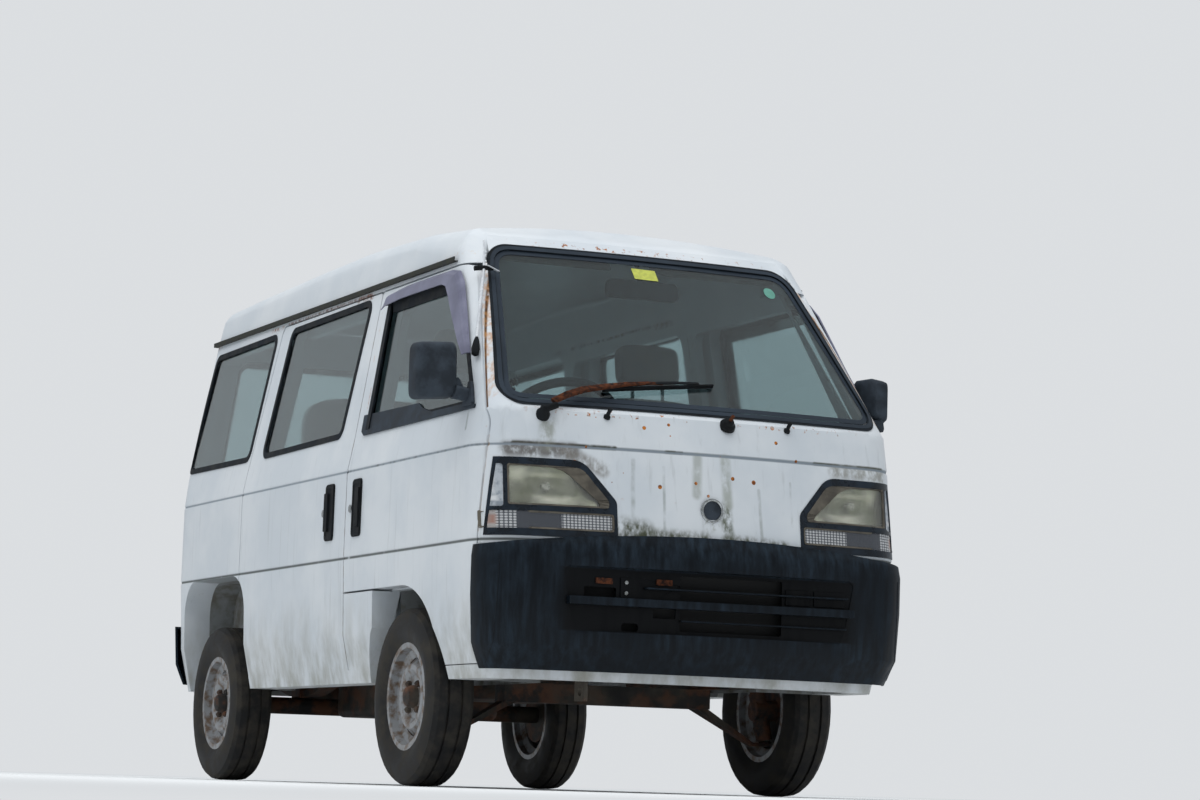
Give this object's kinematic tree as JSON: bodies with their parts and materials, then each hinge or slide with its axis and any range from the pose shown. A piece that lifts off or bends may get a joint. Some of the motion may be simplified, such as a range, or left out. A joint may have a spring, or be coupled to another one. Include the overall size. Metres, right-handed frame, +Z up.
{
  "type": "kei van",
  "caption": "Small cab-over van with hinged front doors, sliding side doors, a lifting tailgate, steered front wheels and a worn white body.",
  "frame": {"origin": "on the ground, under the middle of the body", "axes": "+Z up, the van's nose points to -Y and its right-hand (driver's) side is -X"},
  "size_m": [1.598, 3.2948, 1.7817],
  "materials": {
    "white_paint": "worn gloss",
    "bumper_plastic": "faded",
    "black_rubber": "matte",
    "window_glass": "tinted",
    "lamp_glass": "fluted",
    "lamp_black": "satin",
    "lamp_clear": "gridded",
    "lamp_red": "clear",
    "trim_plastic": "grained",
    "cabin_plastic": "grained",
    "seat_cloth": "woven",
    "chassis_paint": "rusty",
    "bare_iron": "rusty",
    "wheel_paint": "worn",
    "tyre": "worn"
  },
  "bodies": {
    "root": {"body_side_left": "white_paint", "body_side_right": "white_paint", "cab_floor": "white_paint", "chassis_rails": "chassis_paint", "dashboard": "cabin_plastic", "door_frames": "white_paint", "engine_block": "bare_iron", "exhaust": "bare_iron", "front_bumper": "bumper_plastic", "front_panel": "white_paint", "front_seats": "seat_cloth", "front_suspension": "chassis_paint", "fuel_tank": "chassis_paint", "headlamp_housings": "lamp_black", "headlamp_lenses": "lamp_glass", "leaf_springs": "chassis_paint", "load_floor": "white_paint", "rear_axle": "chassis_paint", "rear_bumper": "bumper_plastic", "rear_panel": "white_paint", "rear_seat": "seat_cloth", "roof_gutters": "white_paint", "roof_panel": "white_paint", "side_glass": "window_glass", "sliding_door_left": "white_paint", "sliding_door_right": "white_paint", "sliding_handles": "trim_plastic", "steering_column": "cabin_plastic", "tail_lamps": "lamp_red", "turn_lenses": "lamp_clear", "wheel_houses": "white_paint", "window_seals": "black_rubber", "windscreen": "window_glass"},
    "door_right": {"door_glass_right": "window_glass", "door_handle_right": "trim_plastic", "door_seal_right": "black_rubber", "front_door_right": "white_paint", "mirror_right": "trim_plastic"},
    "door_left": {"door_glass_left": "window_glass", "door_handle_left": "trim_plastic", "door_seal_left": "black_rubber", "front_door_left": "white_paint", "mirror_left": "trim_plastic"},
    "tailgate": {"tailgate": "white_paint", "tailgate_glass": "window_glass", "tailgate_seal": "black_rubber"},
    "knuckle_right": {"knuckle_right": "bare_iron"},
    "knuckle_left": {"knuckle_left": "bare_iron"},
    "wheel_front_right": {"tyre_front_right": "tyre", "wheel_front_right": "wheel_paint"},
    "wheel_front_left": {"tyre_front_left": "tyre", "wheel_front_left": "wheel_paint"},
    "wheel_rear_right": {"tyre_rear_right": "tyre", "wheel_rear_right": "wheel_paint"},
    "wheel_rear_left": {"tyre_rear_left": "tyre", "wheel_rear_left": "wheel_paint"},
    "steering_wheel": {"steering_wheel": "cabin_plastic"}
  },
  "joints": [
    {"name": "door_right_hinge", "type": "hinge", "parent": "root", "child": "door_right", "pos_m": [-0.676, -1.437, 0.9], "axis": [0, 0, 1], "range_deg": [0, 65]},
    {"name": "door_left_hinge", "type": "hinge", "parent": "root", "child": "door_left", "pos_m": [0.676, -1.437, 0.9], "axis": [0, 0, -1], "range_deg": [0, 65]},
    {"name": "tailgate_hinge", "type": "hinge", "parent": "root", "child": "tailgate", "pos_m": [0, 1.512, 1.672], "axis": [1, 0, 0], "range_deg": [0, 85]},
    {"name": "steering_turn", "type": "hinge", "parent": "root", "child": "steering_wheel", "pos_m": [-0.32, -1.165, 1.075], "axis": [0, 0.7431, 0.6691], "range_deg": [-512, 512]},
    {"name": "steer_right", "type": "hinge", "parent": "root", "child": "knuckle_right", "pos_m": [-0.545, -0.86, 0.271], "axis": [0.2079, 0, 0.9781], "range_deg": [-32, 32]},
    {"name": "steer_left", "type": "hinge", "parent": "root", "child": "knuckle_left", "pos_m": [0.545, -0.86, 0.271], "axis": [-0.2079, 0, 0.9781], "range_deg": [-32, 32]},
    {"name": "roll_front_right", "type": "hinge", "parent": "knuckle_right", "child": "wheel_front_right", "pos_m": [-0.6025, -0.86, 0.271], "axis": [1, 0, 0], "continuous": true},
    {"name": "roll_front_left", "type": "hinge", "parent": "knuckle_left", "child": "wheel_front_left", "pos_m": [0.6025, -0.86, 0.271], "axis": [1, 0, 0], "continuous": true},
    {"name": "roll_rear_right", "type": "hinge", "parent": "root", "child": "wheel_rear_right", "pos_m": [-0.605, 1.04, 0.271], "axis": [1, 0, 0], "continuous": true},
    {"name": "roll_rear_left", "type": "hinge", "parent": "root", "child": "wheel_rear_left", "pos_m": [0.605, 1.04, 0.271], "axis": [1, 0, 0], "continuous": true}
  ],
  "couplings": [
    {"joint": "steer_right", "follows": "steering_turn", "ratio": 0.0625},
    {"joint": "steer_left", "follows": "steering_turn", "ratio": 0.0625}
  ]
}
